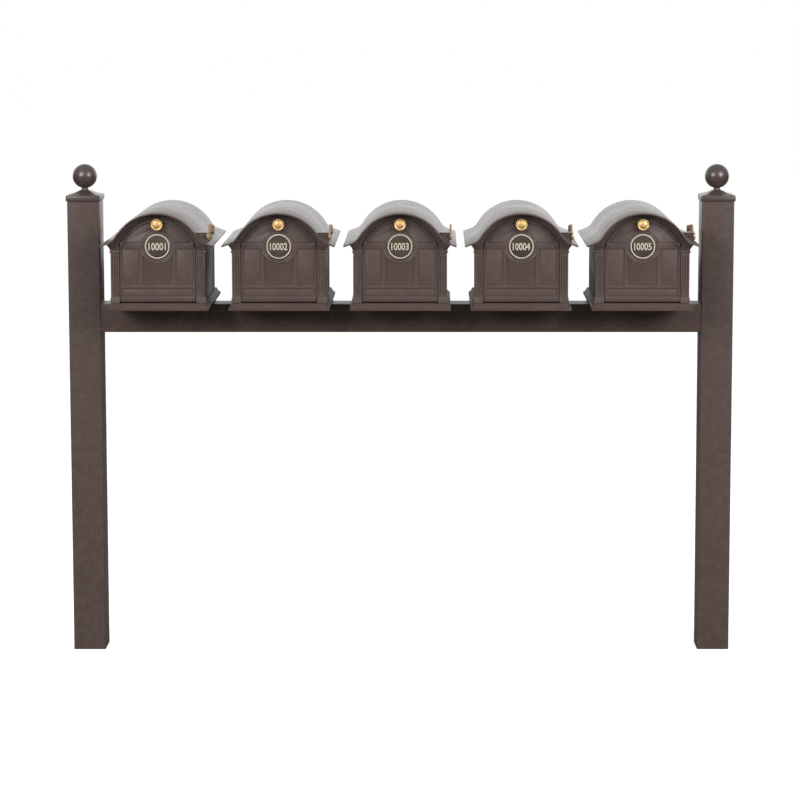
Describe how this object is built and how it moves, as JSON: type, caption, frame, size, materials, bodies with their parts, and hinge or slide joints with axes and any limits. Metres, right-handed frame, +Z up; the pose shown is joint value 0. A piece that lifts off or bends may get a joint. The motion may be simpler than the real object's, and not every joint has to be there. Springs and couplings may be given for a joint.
{
  "type": "cluster mailbox unit",
  "caption": "Row of arched residential mailboxes on a crossbeam between two square posts with ball caps; each box has a drop-down door and a raising flag.",
  "frame": {"origin": "on the ground, midway between the two posts", "axes": "+Z up, +X along the crossbeam to the right seen from the front, the doors face -Y"},
  "size_m": [2.122, 0.508, 1.5665],
  "materials": {
    "bronze_coat": "glossy dark bronze powder coat on cast aluminium",
    "brass": "satin",
    "cream_enamel": "cream enamel on cast aluminium",
    "steel": "brushed"
  },
  "bodies": {
    "root": {"left_post": "bronze_coat", "right_post": "bronze_coat", "left_post_cap": "bronze_coat", "right_post_cap": "bronze_coat", "crossbeam": "bronze_coat", "left_beam_bracket": "steel", "right_beam_bracket": "steel", "left_beam_screw": "steel", "right_beam_screw": "steel", "mailbox_1_body": "bronze_coat", "mailbox_1_front_frame": "bronze_coat", "mailbox_1_roof": "bronze_coat", "mailbox_1_hinge_pin": "steel", "mailbox_1_door_catch": "steel", "mailbox_1_flag_bracket": "bronze_coat", "mailbox_2_body": "bronze_coat", "mailbox_2_front_frame": "bronze_coat", "mailbox_2_roof": "bronze_coat", "mailbox_2_hinge_pin": "steel", "mailbox_2_door_catch": "steel", "mailbox_2_flag_bracket": "bronze_coat", "mailbox_3_body": "bronze_coat", "mailbox_3_front_frame": "bronze_coat", "mailbox_3_roof": "bronze_coat", "mailbox_3_hinge_pin": "steel", "mailbox_3_door_catch": "steel", "mailbox_3_flag_bracket": "bronze_coat", "mailbox_4_body": "bronze_coat", "mailbox_4_front_frame": "bronze_coat", "mailbox_4_roof": "bronze_coat", "mailbox_4_hinge_pin": "steel", "mailbox_4_door_catch": "steel", "mailbox_4_flag_bracket": "bronze_coat", "mailbox_5_body": "bronze_coat", "mailbox_5_front_frame": "bronze_coat", "mailbox_5_roof": "bronze_coat", "mailbox_5_hinge_pin": "steel", "mailbox_5_door_catch": "steel", "mailbox_5_flag_bracket": "bronze_coat"},
    "mailbox_1_door": {"mailbox_1_door": "bronze_coat", "mailbox_1_door_knob": "brass", "mailbox_1_number_plaque": "cream_enamel"},
    "mailbox_1_flag": {"mailbox_1_flag": "brass"},
    "mailbox_2_door": {"mailbox_2_door": "bronze_coat", "mailbox_2_door_knob": "brass", "mailbox_2_number_plaque": "cream_enamel"},
    "mailbox_2_flag": {"mailbox_2_flag": "brass"},
    "mailbox_3_door": {"mailbox_3_door": "bronze_coat", "mailbox_3_door_knob": "brass", "mailbox_3_number_plaque": "cream_enamel"},
    "mailbox_3_flag": {"mailbox_3_flag": "brass"},
    "mailbox_4_door": {"mailbox_4_door": "bronze_coat", "mailbox_4_door_knob": "brass", "mailbox_4_number_plaque": "cream_enamel"},
    "mailbox_4_flag": {"mailbox_4_flag": "brass"},
    "mailbox_5_door": {"mailbox_5_door": "bronze_coat", "mailbox_5_door_knob": "brass", "mailbox_5_number_plaque": "cream_enamel"},
    "mailbox_5_flag": {"mailbox_5_flag": "brass"}
  },
  "joints": [
    {"name": "mailbox_1_door_hinge", "type": "hinge", "parent": "root", "child": "mailbox_1_door", "pos_m": [-0.754, -0.2085, 1.1548], "axis": [1, 0, 0], "range_deg": [0, 95]},
    {"name": "mailbox_1_flag_pivot", "type": "hinge", "parent": "root", "child": "mailbox_1_flag", "pos_m": [-0.599, -0.228, 1.3573], "axis": [1, 0, 0], "range_deg": [0, 90]},
    {"name": "mailbox_2_door_hinge", "type": "hinge", "parent": "root", "child": "mailbox_2_door", "pos_m": [-0.377, -0.2085, 1.1548], "axis": [1, 0, 0], "range_deg": [0, 95]},
    {"name": "mailbox_2_flag_pivot", "type": "hinge", "parent": "root", "child": "mailbox_2_flag", "pos_m": [-0.222, -0.228, 1.3573], "axis": [1, 0, 0], "range_deg": [0, 90]},
    {"name": "mailbox_3_door_hinge", "type": "hinge", "parent": "root", "child": "mailbox_3_door", "pos_m": [0, -0.2085, 1.1548], "axis": [1, 0, 0], "range_deg": [0, 95]},
    {"name": "mailbox_3_flag_pivot", "type": "hinge", "parent": "root", "child": "mailbox_3_flag", "pos_m": [0.155, -0.228, 1.3573], "axis": [1, 0, 0], "range_deg": [0, 90]},
    {"name": "mailbox_4_door_hinge", "type": "hinge", "parent": "root", "child": "mailbox_4_door", "pos_m": [0.377, -0.2085, 1.1548], "axis": [1, 0, 0], "range_deg": [0, 95]},
    {"name": "mailbox_4_flag_pivot", "type": "hinge", "parent": "root", "child": "mailbox_4_flag", "pos_m": [0.532, -0.228, 1.3573], "axis": [1, 0, 0], "range_deg": [0, 90]},
    {"name": "mailbox_5_door_hinge", "type": "hinge", "parent": "root", "child": "mailbox_5_door", "pos_m": [0.754, -0.2085, 1.1548], "axis": [1, 0, 0], "range_deg": [0, 95]},
    {"name": "mailbox_5_flag_pivot", "type": "hinge", "parent": "root", "child": "mailbox_5_flag", "pos_m": [0.909, -0.228, 1.3573], "axis": [1, 0, 0], "range_deg": [0, 90]}
  ]
}
